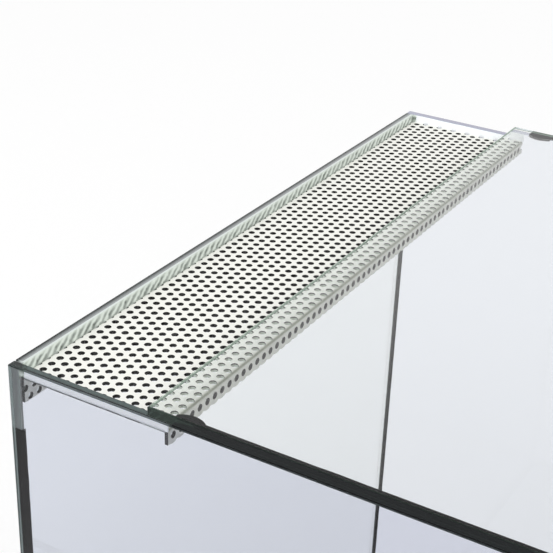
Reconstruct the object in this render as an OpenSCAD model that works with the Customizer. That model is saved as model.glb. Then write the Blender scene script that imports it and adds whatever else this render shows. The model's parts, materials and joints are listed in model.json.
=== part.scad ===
// Frameless glass terrarium with perforated vents and two sliding front doors.
// Millimetres, +Z up, origin on the table under the middle of the tank, +Y to the back.

/* [Tank] */
// Outer width of the tank
tank_w = 348; // [240:1:600]
// Outer depth of the tank
tank_d = 350; // [240:1:600]
// Height of the wall tops above the table
tank_h = 450; // [320:1:700]
// Thickness of the upright panes and of the ledge
wall_t = 4; // [4:0.5:10]
// Thickness of the floor pane
floor_t = 6; // [4:0.5:10]
// Thickness of the top pane
top_t = 4; // [3:0.5:8]
// Width of the ground arris along every pane edge
arris = 0.5; // [0.2:0.1:1]

/* [Silicone] */
// Thickness of the silicone between two panes
bond = 0.5; // [0.3:0.1:1]
// Thickness of the silicone under sheet metal and tracks
thin_bond = 0.3; // [0.2:0.1:0.6]
// Leg of the fillet along the inside corners
fillet = 4; // [2:0.5:8]
// Thickness of the fillet at its feathered edges
feather = 0.3; // [0.1:0.1:0.6]

/* [Perforated sheet] */
// Thickness of the sheet
sheet_t = 1; // [0.5:0.1:1.5]
// Diameter of the holes
hole_d = 3; // [2:0.1:4]
// Distance between neighbouring holes in a row
hole_pitch = 5; // [4.5:0.1:8]
// Sideways shift of the hole pattern from the middle of the tank
hole_shift = 1.2; // [0:0.1:5]
// Gap between the ends of a sheet and the side panes
sheet_gap = 0.5; // [0.3:0.1:1.5]

/* [Top vent] */
// Depth of the top vent, from the back pane to the face of its front fold
vent_d = 68; // [40:1:100]
// Drop of the vent below the wall tops
vent_drop = 4.25; // [2:0.25:12]
// Height of the fold along the back pane
vent_back_fold = 12; // [6:0.5:20]
// Height of the fold along the front of the vent
vent_front_fold = 6.5; // [3:0.5:12]
// Distance of the first whole hole row from the back pane
vent_first_row = 4.75; // [2.5:0.05:6]

/* [Top pane] */
// Distance of the top pane's rear edge from the back pane
top_setback = 60.5; // [30:0.5:100]
// Thickness of the silicone under the top pane
top_bond = 0.4; // [0.3:0.1:1]
// Width of the black silicone on the side panes' top edges
top_seam_w = 3.5; // [2:0.5:3.5]
// Distance between the vent's front fold and the start of the black silicone
dab_gap = 3; // [0.5:0.5:10]
// Length of the silicone dab at the start of the black silicone
dab_l = 12; // [6:1:20]
// Reach of the dab away from the side pane
dab_reach = 2.3; // [1:0.1:5]
// Height of the dab
dab_h = 5; // [2:0.5:10]
// Height below the vent at which the black silicone of the back corners stops
back_seam_stop = 25; // [15:1:60]

/* [Front] */
// Height of the sill pane
sill_h = 70; // [40:1:140]
// Height of the front vent
front_vent_h = 22.9; // [12:0.1:50]
// Depth of the front vent's two folds
front_vent_fold = 6; // [4:0.5:12]
// Distance of the front vent's first hole row from its lower fold
front_first_row = 2.77; // [2.5:0.01:6]
// Depth of the ledge pane
ledge_d = 24; // [16:1:50]
// Height of the header pane
header_h = 40; // [25:1:80]

/* [Doors] */
// Thickness of the door glass
door_t = 4; // [3:0.5:6]
// Width over which the closed doors overlap
door_overlap = 20; // [10:1:40]
// Gap between a closed door and its side pane
door_side_gap = 1; // [0.5:0.1:3]
// Gap between a door and the track, on each face and below
door_run_gap = 0.3; // [0.2:0.05:0.6]
// Length of a door held in the upper track
door_hold = 6; // [4:0.5:8]
// Thickness of the track's three ribs
rib_t = 1.2; // [0.8:0.1:2]
// Width of the bevel along each rib's edges
rib_bevel = 0.3; // [0.1:0.1:0.4]
// Thickness of the track's base
track_base = 1.5; // [1:0.1:3]
// Height of the lower track's ribs
lower_rib_h = 7; // [4:0.5:12]
// Height of the upper track's ribs
upper_rib_h = 14.5; // [13:0.5:24]
// Gap between each end of a track and its side pane
track_gap = 0.5; // [0.3:0.1:2]

/* [Finger grips] */
// Radius of the wheel that grinds the grip
grip_wheel_r = 60; // [30:1:100]
// Radius of the wheel's rounded rim
grip_rim_r = 8; // [5:0.5:12]
// Depth of the grip in the glass
grip_depth = 1.5; // [0.5:0.1:2]
// Distance of the grip from the door's outer edge
grip_inset = 25; // [15:1:60]

/* [Hidden] */
$fn = 48;
row_pitch = hole_pitch * sin(60);
// Length of a fold's neutral line, halfway through the sheet
fold_arc = PI / 4 * sheet_t;
// Faces of the tank, from the middle out
outer_x = tank_w / 2;
inner_x = outer_x - wall_t;
front_y = -tank_d / 2;
back_in = tank_d / 2 - wall_t;
// Levels of the tank, from the table up
wall_z = floor_t + bond;
vent_z = tank_h - vent_drop;
top_z = tank_h + top_bond;
// Panes and sheets set between the side panes
fit_len = 2 * (inner_x - bond);
sheet_len = 2 * (inner_x - sheet_gap);
// Top vent and top pane
vent_rear = back_in - thin_bond;
vent_fold_y = back_in - vent_d;
top_rear = back_in - top_setback;
seam_rear = vent_fold_y - dab_gap;
back_seam_top = vent_z - back_seam_stop;
// Front, from the sill up
sill_top = wall_z + sill_h;
front_vent_z = sill_top + thin_bond;
ledge_z = front_vent_z + front_vent_h + thin_bond;
lower_track_z = ledge_z + wall_t + thin_bond;
header_z = tank_h - header_h;
upper_track_z = header_z - thin_bond;
// Tracks and doors
channel_w = door_t + 2 * door_run_gap;
track_w = 3 * rib_t + 2 * channel_w;
track_len = 2 * (inner_x - track_gap);
door_w = inner_x - door_side_gap + door_overlap / 2;
door_z = lower_track_z + track_base + door_run_gap;
door_top = upper_track_z - track_base - upper_rib_h + door_hold;
front_channel_y = front_y + rib_t + channel_w / 2;
rear_channel_y = front_channel_y + channel_w + rib_t;
// Widths of the silicone on a pane's edge, which stops at the arrises
edge_bond = wall_t - 2 * arris;

glass_colour = [0.80, 0.90, 0.88, 0.35];
cream = [0.93, 0.92, 0.87];
black = [0.07, 0.07, 0.07];
clear = [0.90, 0.93, 0.92, 0.6];
track_colour = [0.12, 0.12, 0.13];

// Shared shapes

// Rectangle from the origin with its four corners cut off at 45 degrees
module cut_rectangle(w, h, c) {
    polygon([[c, 0], [w - c, 0], [w, c], [w, h - c], [w - c, h], [c, h], [0, h - c], [0, c]]);
}

// Glass pane from the origin, with ground arrises along all its edges
module pane(x, y, z) {
    intersection() {
        linear_extrude(z) cut_rectangle(x, y, arris);
        translate([0, y, 0]) rotate([90, 0, 0]) linear_extrude(y) cut_rectangle(x, z, arris);
        rotate([90, 0, 90]) linear_extrude(x) cut_rectangle(y, z, arris);
    }
}

// Bar along X, centred, whose section is drawn with Y across and Z up
module along_x(length) {
    rotate([90, 0, 90]) linear_extrude(length, center = true) children();
}

// Bar along Y from the origin to the back, whose section is drawn with X across and Z up
module along_y(length) {
    translate([0, length, 0]) rotate([90, 0, 0]) linear_extrude(length) children();
}

// A left-hand piece in its place on the right
module on_right() {
    mirror([1, 0, 0]) children();
}

// Section of a silicone fillet in the corner at the origin, hollowed on its free side
module fillet_section() {
    difference() {
        square(fillet);
        translate([fillet + feather, fillet + feather]) circle(r = fillet);
    }
}

// Panes

module floor_pane() {
    color(glass_colour)
        translate([-outer_x, front_y, 0]) pane(tank_w, tank_d, floor_t);
}

module back_pane() {
    color(glass_colour)
        translate([-fit_len / 2, back_in, wall_z]) pane(fit_len, wall_t, tank_h - wall_z);
}

module left_pane() {
    color(glass_colour)
        translate([-outer_x, front_y, wall_z]) pane(wall_t, tank_d, tank_h - wall_z);
}

module right_pane() {
    on_right() left_pane();
}

module sill_pane() {
    color(glass_colour)
        translate([-fit_len / 2, front_y, wall_z]) pane(fit_len, wall_t, sill_h);
}

module ledge_pane() {
    color(glass_colour)
        translate([-fit_len / 2, front_y, ledge_z]) pane(fit_len, ledge_d, wall_t);
}

module header_pane() {
    color(glass_colour)
        translate([-fit_len / 2, front_y, header_z]) pane(fit_len, wall_t, header_h);
}

module top_pane() {
    color(glass_colour)
        translate([-outer_x, front_y, top_z]) pane(tank_w, top_rear - front_y, top_t);
}

// Perforated sheet

// Sideways place of a row's reference hole: every other row is shifted by half a pitch
function row_shift(j) = hole_shift + (j % 2 == 0 ? 0 : hole_pitch / 2);

// Flat strip of the perforated stock, between two lines of its developed length.
// Holes that meet its edges are cut through, as where stock is cut to size.
module perforated_strip(length, from, to, first_row) {
    r = hole_d / 2;
    difference() {
        translate([-length / 2, 0]) square([length, to - from]);
        for (j = [ceil((from - r - first_row) / row_pitch) : floor((to + r - first_row) / row_pitch)]) {
            x = row_shift(j);
            for (i = [ceil((-length / 2 - r - x) / hole_pitch) : floor((length / 2 + r - x) / hole_pitch)])
                translate([x + i * hole_pitch, first_row + j * row_pitch - from]) circle(r = r);
        }
    }
}

// Quarter round of a fold, towards +Y and +Z from its inner corner
module fold_round(length) {
    along_x(length) intersection() {
        circle(r = sheet_t);
        square(sheet_t);
    }
}

// Vent channel: a perforated web in XY with its outer face up, from Y = 0 to its depth,
// and a fold down along each long side. The hole pattern runs on round both folds.
module vent_channel(length, near_fold, depth, far_fold, first_row) {
    flat = depth - 2 * sheet_t;
    union() {
        translate([0, sheet_t, -sheet_t])
            linear_extrude(sheet_t) perforated_strip(length, 0, flat, first_row);
        translate([0, sheet_t, -sheet_t]) mirror([0, 1, 0]) fold_round(length);
        translate([0, sheet_t + flat, -sheet_t]) fold_round(length);
        translate([0, sheet_t, -near_fold]) rotate([90, 0, 0]) linear_extrude(sheet_t)
            perforated_strip(length, -fold_arc - near_fold + sheet_t, -fold_arc, first_row);
        translate([0, depth, -sheet_t]) rotate([90, 0, 0]) mirror([0, 1, 0]) linear_extrude(sheet_t)
            perforated_strip(length, flat + fold_arc, flat + fold_arc + far_fold - sheet_t, first_row);
    }
}

module top_vent() {
    color(cream)
        translate([0, vent_rear, vent_z]) mirror([0, 1, 0])
            vent_channel(sheet_len, vent_back_fold, vent_rear - vent_fold_y, vent_front_fold,
                vent_first_row - thin_bond - sheet_t);
}

module front_vent() {
    color(cream)
        translate([0, front_y + arris, front_vent_z]) rotate([90, 0, 0])
            vent_channel(sheet_len, front_vent_fold, front_vent_h, front_vent_fold,
                front_first_row - sheet_t);
}

// Doors and tracks

// Track section with two channels, ribs up, from Y = 0 to the back
module track_section(rib_h) {
    square([track_w, track_base]);
    for (i = [0 : 2])
        translate([i * (rib_t + channel_w), 0])
            cut_rectangle(rib_t, track_base + rib_h, rib_bevel);
}

module lower_track() {
    color(track_colour)
        translate([0, front_y, lower_track_z]) along_x(track_len) track_section(lower_rib_h);
}

module upper_track() {
    color(track_colour)
        translate([0, front_y, upper_track_z]) mirror([0, 0, 1])
            along_x(track_len) track_section(upper_rib_h);
}

// Rim of the grinding wheel, with its axle along X, touching the origin from the front
module grinding_rim() {
    translate([0, -grip_wheel_r, 0]) rotate([0, 90, 0])
        rotate_extrude() translate([grip_wheel_r - grip_rim_r, 0]) circle(r = grip_rim_r);
}

// Left door with its outer lower front corner at the origin
module door() {
    color(glass_colour) difference() {
        pane(door_w, door_t, door_top - door_z);
        translate([grip_inset, grip_depth, (door_top - door_z) / 2]) grinding_rim();
    }
}

module left_door() {
    translate([-inner_x + door_side_gap, rear_channel_y - door_t / 2, door_z]) door();
}

module right_door() {
    on_right() translate([-inner_x + door_side_gap, front_channel_y - door_t / 2, door_z]) door();
}

// Silicone between panes

// Layer under the walls and a fillet round the foot of them
module floor_seam() {
    color(black) union() {
        translate([0, 0, floor_t]) linear_extrude(bond) difference() {
            translate([-outer_x + arris, front_y + arris])
                square([tank_w - 2 * arris, tank_d - 2 * arris]);
            translate([-inner_x, front_y + wall_t]) square([2 * inner_x, tank_d - 2 * wall_t]);
        }
        translate([0, front_y + wall_t, floor_t]) along_x(2 * inner_x) fillet_section();
        translate([0, back_in, floor_t]) mirror([0, 1, 0]) along_x(2 * inner_x) fillet_section();
        for (side = [0, 1])
            mirror([side, 0, 0]) translate([-inner_x, front_y + wall_t, floor_t])
                along_y(tank_d - 2 * wall_t) fillet_section();
    }
}

module back_left_seam() {
    mirror([0, 1, 0]) strip_seam(wall_z, back_seam_top, floor_t + fillet);
}

module back_right_seam() {
    on_right() back_left_seam();
}

module back_left_bond() {
    color(clear) translate([-inner_x, back_in + arris, back_seam_top])
        cube([bond, edge_bond, tank_h - arris - back_seam_top]);
}

module back_right_bond() {
    on_right() back_left_bond();
}

// Left end of a front pane: a layer against the side pane and a fillet behind the pane
module strip_seam(z_from, z_to, fillet_from) {
    color(black) translate([-inner_x, front_y, 0]) union() {
        translate([0, arris, z_from]) cube([bond, wall_t - arris, z_to - z_from]);
        translate([0, wall_t, fillet_from]) linear_extrude(z_to - fillet_from) fillet_section();
    }
}

module sill_left_seam() {
    strip_seam(wall_z, sill_top - arris, floor_t + fillet);
}

module sill_right_seam() {
    on_right() sill_left_seam();
}

module header_left_seam() {
    strip_seam(header_z + arris, tank_h - arris, header_z + arris);
}

module header_right_seam() {
    on_right() header_left_seam();
}

module ledge_left_bond() {
    color(black) translate([-inner_x, front_y + arris, ledge_z + arris])
        cube([bond, ledge_d - 2 * arris, wall_t - 2 * arris]);
}

module ledge_right_bond() {
    on_right() ledge_left_bond();
}

// Silicone under the top pane

module top_left_seam() {
    color(black) translate([-inner_x - top_seam_w, front_y + arris, tank_h])
        cube([top_seam_w, seam_rear - front_y - arris, top_bond]);
}

module top_right_seam() {
    on_right() top_left_seam();
}

module top_front_seam() {
    color(black) translate([-inner_x, front_y + arris, tank_h])
        cube([2 * inner_x, edge_bond, top_bond]);
}

// Dab pressed out beside the start of the seam, bulging away from the side pane
module top_left_dab() {
    dab_r = (pow(dab_l / 2, 2) + pow(dab_reach, 2)) / (2 * dab_reach);
    color(black) translate([-inner_x, seam_rear - dab_l / 2, top_z - dab_h])
        linear_extrude(dab_h) intersection() {
            translate([dab_reach - dab_r, 0]) circle(r = dab_r);
            translate([0, -dab_l / 2]) square([dab_reach, dab_l]);
        }
}

module top_right_dab() {
    on_right() top_left_dab();
}

// Clear silicone round the sheet metal and under the tracks

module top_vent_back_bond() {
    color(clear) translate([-sheet_len / 2, vent_rear, vent_z - vent_back_fold])
        cube([sheet_len, thin_bond, vent_back_fold - sheet_t]);
}

module top_vent_left_bond() {
    color(clear) translate([-inner_x, vent_fold_y + sheet_t, vent_z - sheet_t])
        cube([sheet_gap, vent_rear - vent_fold_y - 2 * sheet_t, sheet_t]);
}

module top_vent_right_bond() {
    on_right() top_vent_left_bond();
}

module front_vent_lower_bond() {
    color(clear) translate([-sheet_len / 2, front_y + arris + sheet_t, sill_top])
        cube([sheet_len, wall_t - 2 * arris - sheet_t, thin_bond]);
}

module front_vent_upper_bond() {
    color(clear) translate([-sheet_len / 2, front_y + arris + sheet_t, ledge_z - thin_bond])
        cube([sheet_len, front_vent_fold - sheet_t, thin_bond]);
}

module lower_track_bond() {
    color(clear) translate([-track_len / 2, front_y + arris, lower_track_z - thin_bond])
        cube([track_len, track_w - 2 * arris, thin_bond]);
}

module upper_track_bond() {
    color(clear) translate([-track_len / 2, front_y + arris, upper_track_z])
        cube([track_len, edge_bond, thin_bond]);
}

floor_pane();
back_pane();
left_pane();
right_pane();
sill_pane();
ledge_pane();
header_pane();
top_pane();
top_vent();
front_vent();
lower_track();
upper_track();
left_door();
right_door();
floor_seam();
back_left_seam();
back_right_seam();
back_left_bond();
back_right_bond();
sill_left_seam();
sill_right_seam();
header_left_seam();
header_right_seam();
ledge_left_bond();
ledge_right_bond();
top_left_seam();
top_right_seam();
top_front_seam();
top_left_dab();
top_right_dab();
top_vent_back_bond();
top_vent_left_bond();
top_vent_right_bond();
front_vent_lower_bond();
front_vent_upper_bond();
lower_track_bond();
upper_track_bond();
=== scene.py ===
# %% [markdown]
# # A glass terrarium, dressed for a close look
#
# The real object is a frameless tank: plain panes of float glass, glued edge to face with
# silicone. Air gets in low, through a perforated steel channel in the front, and out through a
# second one along the rear of the top. Two glass doors slide in plastic tracks.
#
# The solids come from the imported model, in metres, with the origin on the table under the
# middle of the tank. This file gives them their looks, and rebuilds two kinds of piece in a
# finer form: the sheet, whose holes now run round its bends, and the silicone drawn by hand.

# %% Load the solids
import bpy
import bmesh
import json
import math
from mathutils import Matrix, Vector, noise


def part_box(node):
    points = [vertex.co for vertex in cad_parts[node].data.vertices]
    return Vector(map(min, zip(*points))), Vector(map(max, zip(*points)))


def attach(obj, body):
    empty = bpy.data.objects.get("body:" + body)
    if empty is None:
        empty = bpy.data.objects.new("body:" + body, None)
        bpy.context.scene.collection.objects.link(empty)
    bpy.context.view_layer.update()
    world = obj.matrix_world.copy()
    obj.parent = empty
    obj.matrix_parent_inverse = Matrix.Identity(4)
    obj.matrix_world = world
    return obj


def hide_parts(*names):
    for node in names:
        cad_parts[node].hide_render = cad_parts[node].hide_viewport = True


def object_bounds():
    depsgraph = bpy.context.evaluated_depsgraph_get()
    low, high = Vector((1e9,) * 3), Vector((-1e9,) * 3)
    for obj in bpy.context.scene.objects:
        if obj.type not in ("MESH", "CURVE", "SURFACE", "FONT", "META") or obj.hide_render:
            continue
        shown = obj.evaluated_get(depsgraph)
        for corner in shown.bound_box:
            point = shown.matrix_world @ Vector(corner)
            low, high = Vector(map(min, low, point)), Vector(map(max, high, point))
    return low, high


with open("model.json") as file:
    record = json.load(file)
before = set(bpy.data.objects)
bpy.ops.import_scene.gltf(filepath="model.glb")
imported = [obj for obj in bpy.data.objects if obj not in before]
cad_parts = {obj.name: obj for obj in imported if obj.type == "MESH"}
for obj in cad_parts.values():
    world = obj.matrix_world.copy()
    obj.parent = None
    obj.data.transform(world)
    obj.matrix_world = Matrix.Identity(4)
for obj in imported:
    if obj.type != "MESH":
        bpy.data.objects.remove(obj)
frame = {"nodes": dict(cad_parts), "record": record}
cad_low, cad_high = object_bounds()
nodes = frame["nodes"]
print(len(nodes), "solids in a box of", [round(v, 4) for v in cad_high - cad_low], "m")

# %% [markdown]
# ## Camera
#
# The picture looks down from the left, over the left pane and along the rear of the top. The
# place of such a camera can be guessed and nudged, or solved from points whose place on the
# object is known. Solving was chosen: the rows of holes make a grid of one pitch, so they give
# the focal length, the position and the turn at once. They don't give the pitch itself, which
# is taken from common stock, and with it the scale of everything.

# %% Camera
camera = bpy.data.objects.new("camera", bpy.data.cameras.new("camera"))
bpy.context.scene.collection.objects.link(camera)
bpy.context.scene.camera = camera
camera.data.lens = 84.76
camera.data.sensor_width = 36
camera.data.clip_start = 0.01
camera.location = (-0.4877, -0.1206, 0.7040)
right = Vector((0.51346, -0.85741, 0.03485))
up = Vector((0.37230, 0.25918, 0.89119))
turn = Matrix((right, up, right.cross(up))).transposed()
camera.rotation_mode = "QUATERNION"
camera.rotation_quaternion = turn.to_quaternion()
print("camera", [round(v, 3) for v in camera.location])

# %% [markdown]
# ## Light and floor
#
# The picture has a pure white background and soft light from all round, a little stronger from
# the left. A white world at strength 1 gives the background, and a colour renders about as it
# is written. The world gives objects a little less than that, and one large soft lamp on the
# left gives the rest and so the direction.

# %% World, lamp and floor
scene = bpy.context.scene
scene.view_settings.view_transform = "Standard"
AMBIENT = 0.94

world = bpy.data.worlds.new("white studio")
scene.world = world
world.use_nodes = True
tree = world.node_tree
background = tree.nodes["Background"]
background.inputs["Color"].default_value = (1, 1, 1, 1)
seen = tree.nodes.new("ShaderNodeLightPath")
either = tree.nodes.new("ShaderNodeMath")
either.operation = "MAXIMUM"
tree.links.new(seen.outputs["Is Camera Ray"], either.inputs[0])
tree.links.new(seen.outputs["Is Transmission Ray"], either.inputs[1])
shown = tree.nodes.new("ShaderNodeMath")
shown.operation = "MAXIMUM"
tree.links.new(either.outputs[0], shown.inputs[0])
tree.links.new(seen.outputs["Is Glossy Ray"], shown.inputs[1])
level = tree.nodes.new("ShaderNodeMapRange")
level.inputs["To Min"].default_value = AMBIENT
level.inputs["To Max"].default_value = 1.0
tree.links.new(shown.outputs[0], level.inputs["Value"])
tree.links.new(level.outputs["Result"], background.inputs["Strength"])

lamp = bpy.data.objects.new("soft lamp", bpy.data.lights.new("soft lamp", "AREA"))
scene.collection.objects.link(lamp)
lamp.data.shape = "DISK"
lamp.data.size = 1.6
lamp.data.energy = 11
lamp.location = (-1.7, -0.7, 1.5)
lamp.rotation_mode = "QUATERNION"
lamp.rotation_quaternion = (Vector((0, 0, 0.3)) - lamp.location).to_track_quat("-Z", "Y")
print("world at", AMBIENT, "with a lamp", lamp.data.size, "m across")

# %% [markdown]
# ## Shader helpers
#
# A material can be clicked together by hand or written down. Written down, each one is a few
# lines, and its numbers can be compared side by side. Six helpers keep the lines short: they
# add a node, join or set a socket, do a sum, mix two colours, start a material, and place a
# node group in it.

# %% Node helpers
def add(tree, kind, **settings):
    """Adds a node and sets its properties."""
    node = tree.nodes.new(kind)
    for name, value in settings.items():
        setattr(node, name, value)
    return node


def feed(tree, socket, value):
    """Joins a socket to another socket, or sets its value."""
    if isinstance(value, bpy.types.NodeSocket):
        tree.links.new(value, socket)
    else:
        socket.default_value = value


def calc(tree, operation, *values):
    """Result of a Math node."""
    node = add(tree, "ShaderNodeMath", operation=operation)
    for socket, value in zip(node.inputs, values):
        feed(tree, socket, value)
    return node.outputs[0]


def blend_colour(tree, factor, first, second):
    """Colour between two colours."""
    node = add(tree, "ShaderNodeMix", data_type="RGBA")
    colours = [s for s in node.inputs if s.type == "RGBA"]
    feed(tree, node.inputs["Factor"], factor)
    feed(tree, colours[0], first)
    feed(tree, colours[1], second)
    return [s for s in node.outputs if s.type == "RGBA"][0]


def finish_named(name, **values):
    """New material with one Principled shader, and the shader's plain values."""
    material = bpy.data.materials.new(name)
    material.use_nodes = True
    shader = material.node_tree.nodes["Principled BSDF"]
    for key, value in values.items():
        shader.inputs[key.replace("_", " ")].default_value = value
    return material, material.node_tree, shader


def place(tree, group, **values):
    """Places a shader node group in a material, with its own values."""
    node = add(tree, "ShaderNodeGroup", node_tree=group)
    for key, value in values.items():
        feed(tree, node.inputs[key.replace("_", " ")], value)
    return node


print("helpers ready")

# %% Floor
bm = bmesh.new()
bmesh.ops.create_circle(bm, cap_ends=True, segments=64, radius=9)
floor_mesh = bpy.data.meshes.new("studio floor")
bm.to_mesh(floor_mesh)
bm.free()
studio_floor = bpy.data.objects.new("studio floor", floor_mesh)
scene.collection.objects.link(studio_floor)
studio_floor.location.z = -0.0005
material, tree, shader = finish_named(
    "studio floor", Base_Color=(0.97, 0.97, 0.97, 1), Roughness=0.9, Specular_IOR_Level=0.0,
    Emission_Color=(1, 1, 1, 1), Emission_Strength=0.05)
floor_mesh.materials.append(material)
print("floor", [round(v, 1) for v in studio_floor.dimensions], "m")

# %% [markdown]
# ## Glass
#
# Float glass is almost clear through its faces. Its edges are another matter: light that goes
# in there runs on inside the pane, so a polished edge shows dark, blue to green, and the
# narrow ground chamfer beside it shows matt. Two materials on each pane would need its faces
# sorted by hand. Here one material reads which way the surface points instead, so it works on
# every pane, once it is told which way that pane faces.

# %% Group: edges of a pane
edges = bpy.data.node_groups.new("pane edges", "ShaderNodeTree")
edges.interface.new_socket("Facing", in_out="INPUT", socket_type="NodeSocketVector")
edges.interface.new_socket("Edge", in_out="OUTPUT", socket_type="NodeSocketFloat")
edges.interface.new_socket("Arris", in_out="OUTPUT", socket_type="NodeSocketFloat")
edges.interface.new_socket("Crown", in_out="OUTPUT", socket_type="NodeSocketFloat")
given = add(edges, "NodeGroupInput")
result = add(edges, "NodeGroupOutput")
surface = add(edges, "ShaderNodeNewGeometry")
along = add(edges, "ShaderNodeVectorMath", operation="DOT_PRODUCT")
feed(edges, along.inputs[0], surface.outputs["True Normal"])
feed(edges, along.inputs[1], given.outputs["Facing"])
facing = calc(edges, "ABSOLUTE", along.outputs["Value"])
feed(edges, result.inputs["Edge"], calc(edges, "LESS_THAN", facing, 0.97))
parts = add(edges, "ShaderNodeSeparateXYZ")
feed(edges, parts.inputs[0], surface.outputs["True Normal"])
steepest = calc(edges, "MAXIMUM", calc(edges, "ABSOLUTE", parts.outputs[0]),
                calc(edges, "ABSOLUTE", parts.outputs[1]))
steepest = calc(edges, "MAXIMUM", steepest, calc(edges, "ABSOLUTE", parts.outputs[2]))
feed(edges, result.inputs["Arris"], calc(edges, "LESS_THAN", steepest, 0.8))
feed(edges, result.inputs["Crown"],
     calc(edges, "GREATER_THAN", calc(edges, "ABSOLUTE", parts.outputs[2]), 0.5))
print("group", edges.name)

# %% [markdown]
# Light could be left to find its own way along the inside of a pane, but that takes many
# bounces. Here the glow of the edges is drawn: a faint emission on the edge faces only, which
# turns from one colour to another across the pane. Its colours were set pane by pane, by
# comparing renders with the picture. They come close to it, and aren't values of real glass.

# %% Glass materials
EDGE_TINT = (0.012, 0.022, 0.018, 1)
GROUND = (0.03, 0.04, 0.038, 1)
EDGE_ROUGH, ARRIS_ROUGH = 0.10, 0.45


def glass(name, facing, clear, along, start, end, first, last, flank=None, lip=None):
    """Float glass whose edges glow from one colour to another along one direction.

    A flank is the colour of the upright edges, a lip that of the arris where the glow starts.
    """
    material, tree, shader = finish_named(name, Transmission_Weight=1.0, IOR=1.52,
                                          Specular_Tint=(0.2, 0.2, 0.2, 1),
                                          Emission_Strength=1.0)
    mask = place(tree, edges, Facing=facing)
    tint = blend_colour(tree, mask.outputs["Edge"], clear, EDGE_TINT)
    tint = blend_colour(tree, mask.outputs["Arris"], tint, GROUND)
    feed(tree, shader.inputs["Base Color"], tint)
    polished = calc(tree, "MULTIPLY", mask.outputs["Edge"], EDGE_ROUGH)
    ground = calc(tree, "MULTIPLY", mask.outputs["Arris"], ARRIS_ROUGH)
    feed(tree, shader.inputs["Roughness"], calc(tree, "MAXIMUM", polished, ground))
    depth = add(tree, "ShaderNodeVectorMath", operation="DOT_PRODUCT")
    feed(tree, depth.inputs[0], add(tree, "ShaderNodeTexCoord").outputs["Object"])
    feed(tree, depth.inputs[1], along)
    ramp = add(tree, "ShaderNodeMapRange")
    feed(tree, ramp.inputs["Value"], depth.outputs["Value"])
    feed(tree, ramp.inputs["From Min"], start)
    feed(tree, ramp.inputs["From Max"], end)
    glow = blend_colour(tree, ramp.outputs["Result"], first, last)
    if lip:
        at_start = calc(tree, "SUBTRACT", mask.outputs["Arris"], ramp.outputs["Result"])
        glow = blend_colour(tree, at_start, glow, lip)
    if flank:
        glow = blend_colour(tree, mask.outputs["Crown"], flank, glow)
    feed(tree, shader.inputs["Emission Color"],
         blend_colour(tree, mask.outputs["Edge"], (0, 0, 0, 1), glow))
    return material


def dress(material, *names):
    """Gives CAD nodes a material."""
    for name in names:
        for slot in nodes[name].material_slots:
            slot.material = material


DIM = (0.008, 0.010, 0.011, 1)
MIDDLE = (0.060, 0.080, 0.078, 1)
GREEN = (0.085, 0.125, 0.090, 1)
PALE = (0.46, 0.48, 0.49, 1)
BRIGHT = (0.72, 0.77, 0.74, 1)
LAVENDER = (0.34, 0.34, 0.43, 1)
GREY = (0.150, 0.158, 0.158, 1)
x_axis, y_axis, z_axis = (1, 0, 0), (0, 1, 0), (0, 0, 1)
half_width, half_depth = cad_high.x, cad_high.y
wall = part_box("back_pane")[1].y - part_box("back_pane")[0].y
# The clear tint differs from pane to pane though the glass is the same: the darker lavender of the
# side and back panes is painted light and shade from the surroundings, and the flat panes are
# nearly clear so that more light reaches the sheet under the top pane.
dress(glass("glass of the back pane", y_axis, (0.82, 0.84, 0.87, 1), y_axis, half_depth - wall,
            half_depth - 0.3 * wall, PALE, DIM, flank=GREY, lip=BRIGHT), "back_pane")
dress(glass("glass of the side panes", x_axis, (0.83, 0.845, 0.90, 1), x_axis, 0, half_width,
            DIM, LAVENDER, flank=MIDDLE), "left_pane", "right_pane")
dress(glass("glass of the front panes", y_axis, (0.93, 0.95, 0.94, 1), x_axis, -half_width,
            half_width, MIDDLE, GREEN), "sill_pane", "header_pane", "left_door", "right_door")
dress(glass("glass of the flat panes", z_axis, (0.985, 0.998, 0.985, 1), x_axis, -half_width,
            wall - half_width, DIM, GREEN), "floor_pane", "ledge_pane", "top_pane")
print("glass on 10 panes,", round(wall * 1000, 1), "mm walls")

# %% [markdown]
# ## Fine surface
#
# Silicone, powder coat and extruded plastic all have a fine, uneven skin. It could be modelled,
# but it is far smaller than a pixel in most views, so a bump does. One node group makes it: a
# noise that can be stretched along a bead or an extrusion, and given out as a height and as a
# slow change of tone.

# %% Group: fine skin
skin = bpy.data.node_groups.new("fine skin", "ShaderNodeTree")
skin.interface.new_socket("Grain", in_out="INPUT", socket_type="NodeSocketFloat")
skin.interface.new_socket("Stretch", in_out="INPUT", socket_type="NodeSocketVector")
skin.interface.new_socket("Height", in_out="OUTPUT", socket_type="NodeSocketFloat")
skin.interface.new_socket("Tone", in_out="OUTPUT", socket_type="NodeSocketFloat")
given = add(skin, "NodeGroupInput")
result = add(skin, "NodeGroupOutput")
spread = add(skin, "ShaderNodeVectorMath", operation="MULTIPLY")
feed(skin, spread.inputs[0], add(skin, "ShaderNodeTexCoord").outputs["Object"])
feed(skin, spread.inputs[1], given.outputs["Stretch"])
fine = add(skin, "ShaderNodeTexNoise")
fine.inputs["Detail"].default_value = 1.0
feed(skin, fine.inputs["Vector"], spread.outputs["Vector"])
feed(skin, fine.inputs["Scale"], given.outputs["Grain"])
slow = add(skin, "ShaderNodeTexNoise")
slow.inputs["Scale"].default_value = 14.0
slow.inputs["Detail"].default_value = 2.0
feed(skin, slow.inputs["Vector"], spread.outputs["Vector"])
feed(skin, result.inputs["Height"], fine.outputs["Fac"])
feed(skin, result.inputs["Tone"], slow.outputs["Fac"])
print("group", skin.name)


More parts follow.
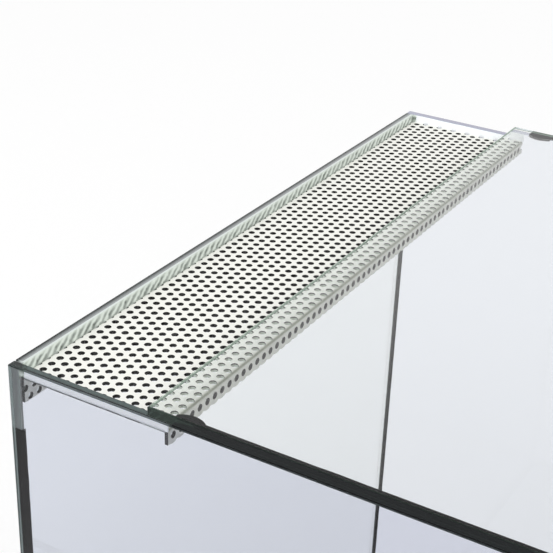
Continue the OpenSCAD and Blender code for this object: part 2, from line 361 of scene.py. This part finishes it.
# %% Skin on a material
def give_skin(tree, shader, grain, stretch, depth, light, dark):
    """Bump, and a base colour between two close tones. The grain is in waves per metre."""
    made = place(tree, skin, Grain=grain, Stretch=stretch)
    bump = add(tree, "ShaderNodeBump")
    bump.inputs["Strength"].default_value = 0.6
    bump.inputs["Distance"].default_value = depth
    feed(tree, bump.inputs["Height"], made.outputs["Height"])
    feed(tree, shader.inputs["Normal"], bump.outputs["Normal"])
    tone = blend_colour(tree, made.outputs["Tone"], light, dark)
    feed(tree, shader.inputs["Base Color"], tone)
    return tone


black_silicone, tree, shader = finish_named(
    "black silicone", Roughness=0.34, Specular_IOR_Level=0.12)
give_skin(tree, shader, 420, (1, 1, 1), 0.00012, (0.009, 0.009, 0.011, 1), (0.004, 0.004, 0.005, 1))
clear_silicone, tree, shader = finish_named(
    "clear silicone", Roughness=0.30, Transmission_Weight=1.0, IOR=1.41)
give_skin(tree, shader, 420, (1, 1, 1), 0.00015, (0.93, 0.95, 0.94, 1), (0.84, 0.88, 0.86, 1))
track_plastic, tree, shader = finish_named("track plastic", Roughness=0.42)
give_skin(tree, shader, 900, (0.01, 1, 1), 0.00004, (0.026, 0.026, 0.028, 1),
          (0.018, 0.018, 0.020, 1))
dress(track_plastic, "lower_track", "upper_track")
print("silicone and plastic mixed")

# %% [markdown]
# Above the edges of the top vent the same clear silicone is smeared thin and turns milky. Along
# the back the picture shows a row of dark, leaning strokes in it, at the pitch of the holes.
# They are taken to be the holes in the bend, seen through the silicone. They could be left to
# refraction, but a clear bead was tried and gave an even grey strip. Here the material draws
# them from the pitch of the holes, and a smooth noise bends and fades them. A faint emission
# stands for the light that the milky silicone passes on.

# %% Clouded silicone
HOLE, PITCH, SHIFT = 0.003, 0.005, 0.0012
LEAN = 1.5
WANDER, WANDER_SCALE, PATCHES = 0.0040, 260, 1.4
BACK_REACH = 0.0025
STROKE_WIDTH = {"From Min": 0.06, "From Max": 0.44, "To Min": 1.0, "To Max": 0.12}
STROKE_HEIGHT = {"From Min": 0.0022, "From Max": 0.0040, "To Min": 1.0, "To Max": 0.2}
# The strokes are painted shade: the shaded holes seen through the silicone. Along the back the
# milky colour is also painted darker, as shade.
STROKE, BACK_SHADE, BACK_SHADE_SHARE = (0.035, 0.046, 0.037, 1), (0.70, 0.77, 0.69, 1), 0.7
SIDE_GLOW, BACK_GLOW = (0.26, 0.26, 0.29, 1), (0.07, 0.08, 0.07, 1)

clouded, tree, shader = finish_named("clouded silicone", Roughness=0.28, Emission_Strength=1.0)
milk = give_skin(tree, shader, 500, (1, 1, 1), 0.00015, (0.88, 0.90, 0.90, 1),
                 (0.78, 0.82, 0.80, 1))
at = add(tree, "ShaderNodeSeparateXYZ")
feed(tree, at.inputs[0], add(tree, "ShaderNodeTexCoord").outputs["Object"])
sheet_top, pane_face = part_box("top_vent")[1].z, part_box("back_pane")[0].y
height = calc(tree, "SUBTRACT", at.outputs["Z"], sheet_top)
wander = add(tree, "ShaderNodeTexNoise")
wander.inputs["Scale"].default_value = WANDER_SCALE
feed(tree, wander.inputs["Vector"], add(tree, "ShaderNodeTexCoord").outputs["Object"])
leaned = calc(tree, "SUBTRACT", at.outputs["X"], calc(tree, "MULTIPLY", height, LEAN))
leaned = calc(tree, "ADD", leaned, calc(tree, "MULTIPLY", wander.outputs["Fac"], WANDER))
place_in_pitch = calc(tree, "DIVIDE", calc(tree, "SUBTRACT", leaned, SHIFT + PITCH / 2), PITCH)
off_centre = calc(tree, "ABSOLUTE", calc(tree, "SUBTRACT", calc(
    tree, "FRACT", calc(tree, "ADD", place_in_pitch, 0.5)), 0.5))
stroke = add(tree, "ShaderNodeMapRange", interpolation_type="SMOOTHSTEP")
feed(tree, stroke.inputs["Value"], off_centre)
for title, value in STROKE_WIDTH.items():
    feed(tree, stroke.inputs[title], value)
fading = add(tree, "ShaderNodeMapRange", interpolation_type="SMOOTHSTEP")
feed(tree, fading.inputs["Value"], height)
for title, value in STROKE_HEIGHT.items():
    feed(tree, fading.inputs[title], value)
at_back = calc(tree, "GREATER_THAN", at.outputs["Y"], pane_face - BACK_REACH)
patchy = calc(tree, "MULTIPLY", wander.outputs["Fac"], PATCHES)
drawn_dark = calc(tree, "MULTIPLY", stroke.outputs[0], fading.outputs[0])
drawn_dark = calc(tree, "MULTIPLY", calc(tree, "MULTIPLY", drawn_dark, patchy), at_back)
# Painted shade: the milky colour is darker along the back.
shaded_back = blend_colour(tree, calc(tree, "MULTIPLY", at_back, BACK_SHADE_SHARE), milk, BACK_SHADE)
feed(tree, shader.inputs["Base Color"], blend_colour(tree, drawn_dark, shaded_back, STROKE))
feed(tree, shader.inputs["Emission Color"], blend_colour(tree, at_back, SIDE_GLOW, BACK_GLOW))
print("clouded silicone, strokes every", PITCH * 1000, "mm")

# %% [markdown]
# ## Drawn silicone
#
# A real bead is pressed out of a cartridge and drawn along the corner by hand, so its width
# swells and its edge wanders by a few tenths of a millimetre. It also wets the glass: nothing is
# between them, which is why black silicone shows deep black through a pane. The solids give
# each bead's path and section. Here a copy of each is sliced every few millimetres, pushed out
# by a smooth noise, and pressed a hair into the glass, so that a ray inside the pane meets
# the silicone and no film of air.
#
# Three things differ from the solids, because the picture asks for them: the rear corners are
# wiped narrower, the dabs hang less far down, and a thin bead of the milky silicone lies in the
# corner above the top vent's edges.

# %% Beads from the solids
WET, SWELL, STEP = 0.00005, 0.00016, 0.004
WAVES = ((130, 0.7), (310, 0.3))
SHARP = math.radians(50)
WIPED = 0.3
DAB_DROP = 0.0012
MM = 0.001
HEEL = [(0, 3.7), (0.25, 2.2), (0.45, 0.9), (0.6, -0.1), (0.4, -1.3), (0, -1.5)]
SIDE_HEEL_FOOT = -0.5


def lay_heel(bm, name):
    """Bead in the corner above one edge of the vent, up to the pane's arris."""
    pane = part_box("back_pane")[0].y
    sheet_low, sheet_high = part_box("top_vent")
    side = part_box("right_pane")[0].x
    if name == "top_vent_back_bond":
        ends = [[(x, pane - out * MM, sheet_high.z + rise * MM) for out, rise in HEEL]
                for x in (-side, side)]
    else:
        hand = -1 if "left" in name else 1
        ends = [[(hand * (side - out * MM), y, sheet_high.z + max(rise, SIDE_HEEL_FOOT) * MM)
                 for out, rise in HEEL] for y in (sheet_low.y, pane)]
    ends = [[bm.verts.new(spot) for spot in ring] for ring in ends]
    faces = [bm.faces.new(ring) for ring in ends]
    for i in range(len(HEEL)):
        j = (i + 1) % len(HEEL)
        faces.append(bm.faces.new((ends[0][i], ends[0][j], ends[1][j], ends[1][i])))
    for face in faces:
        face.material_index = 1
    bmesh.ops.recalc_face_normals(bm, faces=faces)


def wipe_corner(bm):
    """Draws the fillet in a rear corner back to a narrow line, as a thumb leaves it."""
    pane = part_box("back_pane")
    for v in bm.verts:
        v.co.y = max(v.co.y, pane[0].y - (pane[0].y - v.co.y) * WIPED)
        reach = pane[1].x - abs(v.co.x)
        if reach > 0:
            v.co.x = math.copysign(pane[1].x - reach * WIPED, v.co.x)


def drawn(name, material):
    """A bead as drawn by hand, in place of its even solid."""
    bm = bmesh.new()
    bm.from_mesh(nodes[name].data)
    bmesh.ops.remove_doubles(bm, verts=bm.verts, dist=1e-6)
    if name.startswith("top_vent"):
        lay_heel(bm, name)
    if name in ("back_left_seam", "back_right_seam"):
        wipe_corner(bm)
    if name.endswith("dab"):
        for v in bm.verts:
            v.co.z = max(v.co.z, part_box("top_pane")[0].z - DAB_DROP)
    low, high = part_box(name)
    for axis in range(3):
        slices = int((high[axis] - low[axis]) / STEP)
        plane = Vector([float(i == axis) for i in range(3)])
        for i in range(1, slices):
            at = low + (high - low) * (i / slices)
            bmesh.ops.bisect_plane(bm, geom=bm.verts[:] + bm.edges[:] + bm.faces[:],
                                   dist=1e-6, plane_co=at, plane_no=plane)
    bm.normal_update()
    for v in bm.verts:
        wave = sum(noise.noise(v.co * scale) * share for scale, share in WAVES)
        v.co += v.normal * (WET + SWELL * max(0.0, 0.5 + wave))
    for face in bm.faces:
        face.smooth = True
    mesh = bpy.data.meshes.new(name + "_bead")
    bm.to_mesh(mesh)
    bm.free()
    mesh.set_sharp_from_angle(angle=SHARP)
    mesh.materials.append(material)
    if name.startswith("top_vent"):
        mesh.materials.append(clouded)
    bead = bpy.data.objects.new(name + "_bead", mesh)
    scene.collection.objects.link(bead)
    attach(bead, "tank")
    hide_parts(name)
    return len(mesh.polygons)


slot_of = {row["node"]: row["material_slot"] for row in frame["record"]["subparts"]}
faces = 0
for name, slot_name in sorted(slot_of.items()):
    if slot_name == "black_silicone":
        faces += drawn(name, black_silicone)
    elif slot_name == "clear_silicone":
        faces += drawn(name, clear_silicone)
print("beads drawn,", faces, "faces")

# %% [markdown]
# ## Perforated vents
#
# The real vent starts as flat, powder-coated stock with staggered round holes. A strip is cut
# to size, straight through whatever holes are in the way, and its long sides are folded down
# in a press. A drawn picture of holes would have no depth, and holes cut one by one into the
# folded shape would not run round the folds. So this follows the workshop: Geometry Nodes
# punch a flat blank, then fold it.
#
# The visible sheet is 1.5 mm thick and the solid's is 1 mm. The thickness isn't measured: seen
# this flat, thicker walls close each hole to a dark ellipse, as in the picture.

# %% Blank strip
SHEET = 0.0015
BEND = SHEET / 2
BEND_LENGTH = math.pi / 2 * BEND


def blank_strip(name, length, near_fold, flat, far_fold):
    """Flat blank, with lines across it where it will be folded."""
    steps = 6
    lines = [-BEND_LENGTH - near_fold + SHEET]
    lines += [-BEND_LENGTH * (1 - i / steps) for i in range(steps)]
    lines += [0.0, flat]
    lines += [flat + BEND_LENGTH * (i + 1) / steps for i in range(steps)]
    lines += [flat + BEND_LENGTH + far_fold - SHEET]
    bm = bmesh.new()
    rows = [[bm.verts.new((x, y, 0)) for x in (-length / 2, length / 2)] for y in lines]
    for a, b in zip(rows, rows[1:]):
        bm.faces.new((a[0], a[1], b[1], b[0]))
    plate = bmesh.ops.extrude_face_region(bm, geom=bm.faces[:])
    bmesh.ops.translate(bm, vec=(0, 0, SHEET),
                        verts=[v for v in plate["geom"] if isinstance(v, bmesh.types.BMVert)])
    bmesh.ops.recalc_face_normals(bm, faces=bm.faces[:])
    mesh = bpy.data.meshes.new(name)
    bm.to_mesh(mesh)
    bm.free()
    blank = bpy.data.objects.new(name, mesh)
    scene.collection.objects.link(blank)
    return blank


print("sheet", SHEET * 1000, "mm thick, bends take up", round(BEND_LENGTH * 1000, 2), "mm")

# %% Tree: punch the blank
ROW_ANGLE = math.radians(60)
vent_tree = bpy.data.node_groups.new("punched and folded sheet", "GeometryNodeTree")
face = vent_tree.interface
face.new_socket("Geometry", in_out="OUTPUT", socket_type="NodeSocketGeometry")
face.new_socket("Blank", in_out="INPUT", socket_type="NodeSocketGeometry")
for title, kind in [("Hole Diameter", "Float"), ("Pitch", "Float"), ("Columns", "Int"),
                    ("Rows", "Int"), ("First Row Parity", "Int"), ("First Hole", "Vector"),
                    ("Flat Width", "Float"), ("Finish", "Material"), ("Turn", "Vector"),
                    ("Place", "Vector")]:
    face.new_socket(title, in_out="INPUT", socket_type="NodeSocket" + kind)
given = add(vent_tree, "NodeGroupInput").outputs
result = add(vent_tree, "NodeGroupOutput")


def wire(kind, inputs=(), **settings):
    """Adds a node to the vent's tree and feeds its inputs by name or number."""
    node = add(vent_tree, kind, **settings)
    for key, value in dict(inputs).items():
        feed(vent_tree, node.inputs[key], value)
    return node


def figure(operation, *values):
    return calc(vent_tree, operation, *values)


row_pitch = figure("MULTIPLY", given["Pitch"], math.sin(ROW_ANGLE))
grid = wire("GeometryNodeMeshGrid", {
    "Size X": figure("MULTIPLY", given["Pitch"], figure("SUBTRACT", given["Columns"], 1)),
    "Size Y": figure("MULTIPLY", row_pitch, figure("SUBTRACT", given["Rows"], 1)),
    "Vertices X": given["Columns"], "Vertices Y": given["Rows"]})
number = wire("GeometryNodeInputIndex").outputs[0]
row = figure("MODULO", number, given["Rows"])
odd = figure("MODULO", figure("ADD", row, given["First Row Parity"]), 2)
stagger = wire("ShaderNodeCombineXYZ",
               {"X": figure("MULTIPLY", figure("MULTIPLY", odd, given["Pitch"]), 0.5)})
start = wire("ShaderNodeVectorMath", {0: stagger.outputs[0], 1: given["First Hole"]},
             operation="ADD")
moved = wire("GeometryNodeSetPosition", {"Geometry": grid.outputs[0], "Offset": start.outputs[0]})
punch = wire("GeometryNodeMeshCylinder", {
    "Vertices": 20, "Radius": figure("DIVIDE", given["Hole Diameter"], 2),
    "Depth": SHEET * 4})
punches = wire("GeometryNodeInstanceOnPoints",
               {"Points": moved.outputs[0], "Instance": punch.outputs[0]})
tools = wire("GeometryNodeRealizeInstances", {"Geometry": punches.outputs[0]})
cut = wire("GeometryNodeMeshBoolean", {"Mesh 1": given["Blank"], "Mesh 2": tools.outputs[0]},
           operation="DIFFERENCE", solver="MANIFOLD")
# Faces cut through the sheet, which the coat colours near-black: bare metal at the cut ends,
# painted shade in the holes.
upright = wire("ShaderNodeSeparateXYZ", {0: wire("GeometryNodeInputNormal").outputs[0]})
is_cut_face = figure("LESS_THAN", figure("ABSOLUTE", upright.outputs["Z"]), 0.5)
marked = wire("GeometryNodeStoreNamedAttribute",
              {"Geometry": cut.outputs[0], "Name": "cut_face", "Value": is_cut_face},
              data_type="FLOAT", domain="FACE")
print("tree punches", math.degrees(ROW_ANGLE), "degree rows")

# %% [markdown]
# Folding is a sum on each point. Past a bend's start, the first stretch of the strip is rolled
# into a quarter turn, and what is left hangs straight down from it.

# %% Tree: fold the blank
spot = wire("ShaderNodeSeparateXYZ", {0: wire("GeometryNodeInputPosition").outputs[0]}).outputs
near = figure("MAXIMUM", figure("MULTIPLY", spot["Y"], -1), 0)
far = figure("MAXIMUM", figure("SUBTRACT", spot["Y"], given["Flat Width"]), 0)
near_turn = figure("MINIMUM", figure("DIVIDE", near, BEND), math.pi / 2)
far_turn = figure("MINIMUM", figure("DIVIDE", far, BEND), math.pi / 2)
drop = figure("MAXIMUM", figure("SUBTRACT", figure("ADD", near, far), BEND_LENGTH), 0)
on_web = figure("MINIMUM", figure("MAXIMUM", spot["Y"], 0), given["Flat Width"])
reach = figure("MULTIPLY", spot["Z"],
               figure("SUBTRACT", figure("SINE", far_turn), figure("SINE", near_turn)))
rise = figure("MULTIPLY", spot["Z"], figure("COSINE", figure("ADD", near_turn, far_turn)))
folded = wire("ShaderNodeCombineXYZ", {
    "X": spot["X"], "Y": figure("ADD", on_web, reach),
    "Z": figure("SUBTRACT", figure("SUBTRACT", rise, SHEET), drop)})
# A mask along the middle of the far bend, which the coat darkens into a line.
crest = figure("POWER", figure("SINE", figure("MULTIPLY", far_turn, 2)), 3)
creased = wire("GeometryNodeStoreNamedAttribute",
               {"Geometry": marked.outputs[0], "Name": "bend", "Value": crest},
               data_type="FLOAT", domain="POINT")
pressed = wire("GeometryNodeSetPosition",
               {"Geometry": creased.outputs[0], "Position": folded.outputs[0]})
sharp = figure("GREATER_THAN", wire("GeometryNodeInputMeshEdgeAngle").outputs[0], 0.6)
smooth = wire("GeometryNodeSetShadeSmooth", {"Geometry": pressed.outputs[0], "Shade Smooth": True},
              domain="FACE")
crisp = wire("GeometryNodeSetShadeSmooth",
             {"Geometry": smooth.outputs[0], "Selection": sharp, "Shade Smooth": False},
             domain="EDGE")
turned = wire("GeometryNodeTransform", {
    "Geometry": crisp.outputs[0], "Rotation": given["Turn"], "Translation": given["Place"]})
whole = wire("GeometryNodeRealizeInstances", {"Geometry": turned.outputs[0]})
coated = wire("GeometryNodeSetMaterial",
              {"Geometry": whole.outputs[0], "Material": given["Finish"]})
feed(vent_tree, result.inputs[0], coated.outputs[0])
print("tree folds", len(vent_tree.nodes), "nodes")

# %% [markdown]
# The picture has a dark line on the front bend and nearly black hole walls. The material darkens
# a line along the middle of the front bend, and colours the cut faces near-black: bare metal at
# the cut ends, painted shade in the holes. Both come as attributes from the tree. Under the top
# pane it shows something else: the holes are light inside, with a dark upper rim. A bead in each
# hole could be modelled, but nothing in the picture says how deep it goes. So the material
# paints light there: it lightens the coat and the lower walls, up to the last row that the pane
# covers in this view. The strip is fixed on the sheet, so it stays from any side.

# %% Powder coat
BARE_AND_SHADED, BARE_METAL = (0.030, 0.029, 0.028, 1), 0.4
BEND_LINE, BEND_LINE_SHARE = (0.22, 0.24, 0.17, 1), 0.9
PAINTED_LIGHT_UNDER_PANE, PAINTED_LIGHT_IN_HOLES = (0.97, 0.985, 0.94, 1), (0.72, 0.77, 0.68, 1)
RIM, FOLD_WALL = 0.0005, 0.0016

powder_coat, tree, shader = finish_named("cream powder coat", Roughness=0.42)
coat = give_skin(tree, shader, 700, (1, 1, 1), 0.00003, (0.935, 0.935, 0.885, 1),
                 (0.905, 0.905, 0.85, 1))
at = add(tree, "ShaderNodeSeparateXYZ")
feed(tree, at.inputs[0], add(tree, "ShaderNodeTexCoord").outputs["Object"])
top_pane, top_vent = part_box("top_pane"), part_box("top_vent")
covered_to = top_pane[1].y + top_pane[0].z - top_vent[1].z
covered = calc(tree, "MULTIPLY", calc(tree, "LESS_THAN", at.outputs["Y"], covered_to),
               calc(tree, "GREATER_THAN", at.outputs["Y"], top_vent[0].y + FOLD_WALL))
# Painted light: the coat under the top pane is made lighter.
coat = blend_colour(tree, covered, coat, PAINTED_LIGHT_UNDER_PANE)
bend_middle = add(tree, "ShaderNodeAttribute", attribute_name="bend").outputs["Fac"]
# A darker line along the middle of the bend.
coat = blend_colour(tree, calc(tree, "MULTIPLY", bend_middle, BEND_LINE_SHARE), coat, BEND_LINE)
sheared = add(tree, "ShaderNodeAttribute", attribute_name="cut_face").outputs["Fac"]
deep = calc(tree, "LESS_THAN", at.outputs["Z"], top_vent[1].z - RIM)
deep = calc(tree, "MULTIPLY", deep, calc(tree, "GREATER_THAN", at.outputs["Z"], top_vent[0].z))
# Cut faces near-black, as bare metal and painted shade; under the top pane the lower walls get
# painted light instead.
inside = blend_colour(tree, calc(tree, "MULTIPLY", covered, deep), BARE_AND_SHADED, PAINTED_LIGHT_IN_HOLES)
feed(tree, shader.inputs["Base Color"], blend_colour(tree, sheared, coat, inside))
feed(tree, shader.inputs["Metallic"], calc(tree, "MULTIPLY", sheared, BARE_METAL))
print("coat ready, light holes up to y", round(covered_to, 4))

# %% Make both vents
row_step = PITCH * math.sin(ROW_ANGLE)


def vent(name, near_fold, far_fold, depth, row_from_face, turn, place_at, shift):
    """Punches and folds one vent, and turns it into a plain mesh."""
    low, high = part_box(name)
    length, flat = high.x - low.x, depth - 2 * SHEET
    first_row = row_from_face - SHEET
    blank = blank_strip(name + "_blank", length, near_fold, flat, far_fold)
    bottom = -BEND_LENGTH - near_fold
    top = flat + BEND_LENGTH + far_fold
    first = math.floor((bottom - first_row) / row_step)
    rows = math.ceil((top - first_row) / row_step) - first + 1
    columns = 2 * math.ceil(length / 2 / PITCH) + 3
    middle = first_row + (first + (rows - 1) / 2) * row_step
    modifier = blank.modifiers.new("vent", "NODES")
    modifier.node_group = vent_tree
    sockets = {item.name: item.identifier for item in vent_tree.interface.items_tree
               if item.in_out == "INPUT"}
    for title, value in {
            "Hole Diameter": HOLE, "Pitch": PITCH, "Columns": columns, "Rows": rows,
            "First Row Parity": first % 2, "First Hole": (shift, middle, 0),
            "Flat Width": flat, "Finish": powder_coat, "Turn": turn, "Place": place_at}.items():
        modifier[sockets[title]] = value
    solved = blank.evaluated_get(bpy.context.evaluated_depsgraph_get())
    mesh = bpy.data.meshes.new_from_object(solved)
    bpy.data.objects.remove(blank)
    piece = bpy.data.objects.new(name + "_sheet", mesh)
    scene.collection.objects.link(piece)
    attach(piece, "tank")
    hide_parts(name)
    mesh.calc_loop_triangles()
    print(piece.name, rows, "rows", len(mesh.loop_triangles), "triangles")


BACK_FOLD, FRONT_FOLD, TOP_FIRST_ROW = 0.012, 0.007, 0.00445
LOW_FOLD, LOW_FIRST_ROW = 0.006, 0.00277
low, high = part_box("top_vent")
vent("top_vent", BACK_FOLD, FRONT_FOLD, high.y - low.y, TOP_FIRST_ROW, (0, 0, math.pi),
     (0, high.y - SHEET, high.z), -SHIFT)
low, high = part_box("front_vent")
vent("front_vent", LOW_FOLD, LOW_FOLD, high.z - low.z, LOW_FIRST_ROW, (math.pi / 2, 0, 0),
     (0, low.y, low.z + SHEET), SHIFT)

# %% [markdown]
# ## Last step
#
# The view layer is brought up to date.

# %% Update the view layer
bpy.context.view_layer.update()
